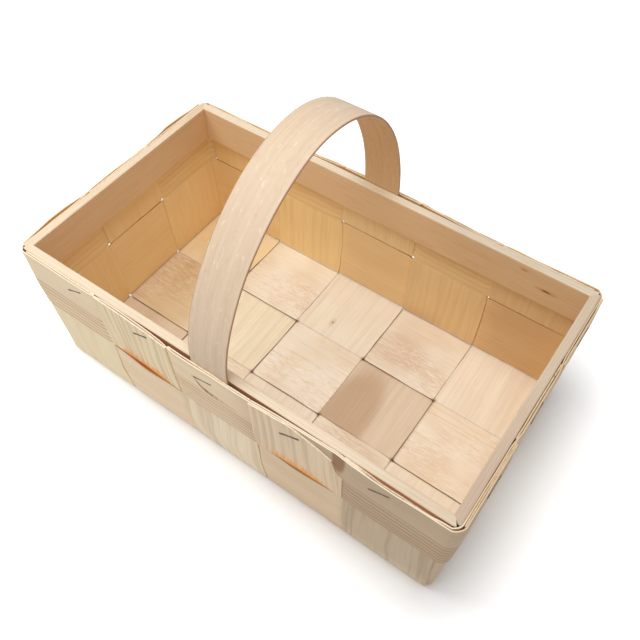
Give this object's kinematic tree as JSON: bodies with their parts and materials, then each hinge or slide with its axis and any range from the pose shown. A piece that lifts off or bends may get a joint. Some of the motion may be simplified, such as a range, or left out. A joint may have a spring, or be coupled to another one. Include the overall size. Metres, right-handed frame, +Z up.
{
  "type": "berry basket",
  "caption": "Open rectangular berry basket of wide flat wood splints in plain weave, with a mitred slat rim and a bent wood carrying handle across its middle.",
  "frame": {"origin": "middle of the underside of the floor, where the basket rests", "axes": "+X along the long side of the basket, towards the corner where the upper hoop laps itself; -Y the long wall that faces the viewer of the picture; +Z up"},
  "size_m": [0.3687, 0.2118, 0.2465],
  "materials": {
    "splint_wood": "planed raw pine splint, warm cream to honey",
    "slat_wood": "sawn raw softwood, pale cream on the edges and greyish tan on the faces",
    "handle_wood": "smooth steam-bent hardwood strip, pale pinkish beige",
    "staple_steel": "dark grey staple wire"
  },
  "bodies": {
    "root": {"cross_splint_a": "splint_wood", "cross_splint_b": "splint_wood", "cross_splint_c": "splint_wood", "cross_splint_d": "splint_wood", "cross_splint_e": "splint_wood", "long_splint_front": "splint_wood", "long_splint_middle": "splint_wood", "long_splint_back": "splint_wood", "lower_weaver": "splint_wood", "upper_weaver": "splint_wood", "rim_slat_front": "slat_wood", "rim_slat_right": "slat_wood", "rim_slat_back": "slat_wood", "rim_slat_left": "slat_wood", "handle": "handle_wood", "staple_front_a": "staple_steel", "staple_front_b": "staple_steel", "staple_front_c": "staple_steel", "staple_front_d": "staple_steel", "staple_front_e": "staple_steel", "staple_back_a": "staple_steel", "staple_back_b": "staple_steel", "staple_back_c": "staple_steel", "staple_back_d": "staple_steel", "staple_back_e": "staple_steel", "staple_right_front": "staple_steel", "staple_right_middle": "staple_steel", "staple_right_back": "staple_steel", "staple_left_front": "staple_steel", "staple_left_middle": "staple_steel", "staple_left_back": "staple_steel"}
  },
  "joints": []
}
